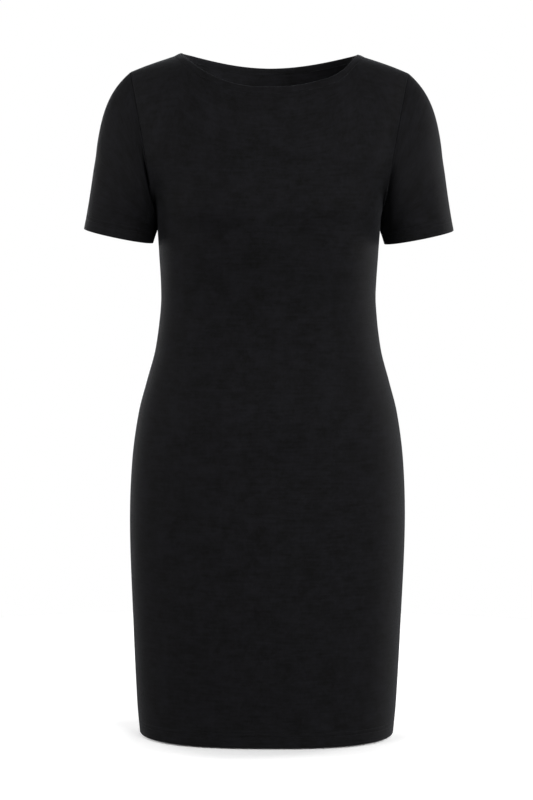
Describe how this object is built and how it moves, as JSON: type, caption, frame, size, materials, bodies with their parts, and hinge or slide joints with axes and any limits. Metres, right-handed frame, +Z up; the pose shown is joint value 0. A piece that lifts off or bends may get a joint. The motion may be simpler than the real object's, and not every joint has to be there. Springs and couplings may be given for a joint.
{
  "type": "sheath dress",
  "caption": "Fitted knee-length sheath dress in black knit, with short set-in sleeves and a wide bound neck, filled out as worn.",
  "frame": {"origin": "midway between the two neck points of the shoulder seams, where the wearer's shoulders hold the dress up", "axes": "+Z up, -Y the front, +X the wearer's left"},
  "size_m": [0.4956, 0.2657, 0.9097],
  "materials": {
    "double_knit": "matte"
  },
  "bodies": {
    "root": {"front": "double_knit", "back": "double_knit", "sleeve_left": "double_knit", "sleeve_right": "double_knit", "neck_binding": "double_knit"}
  },
  "joints": []
}
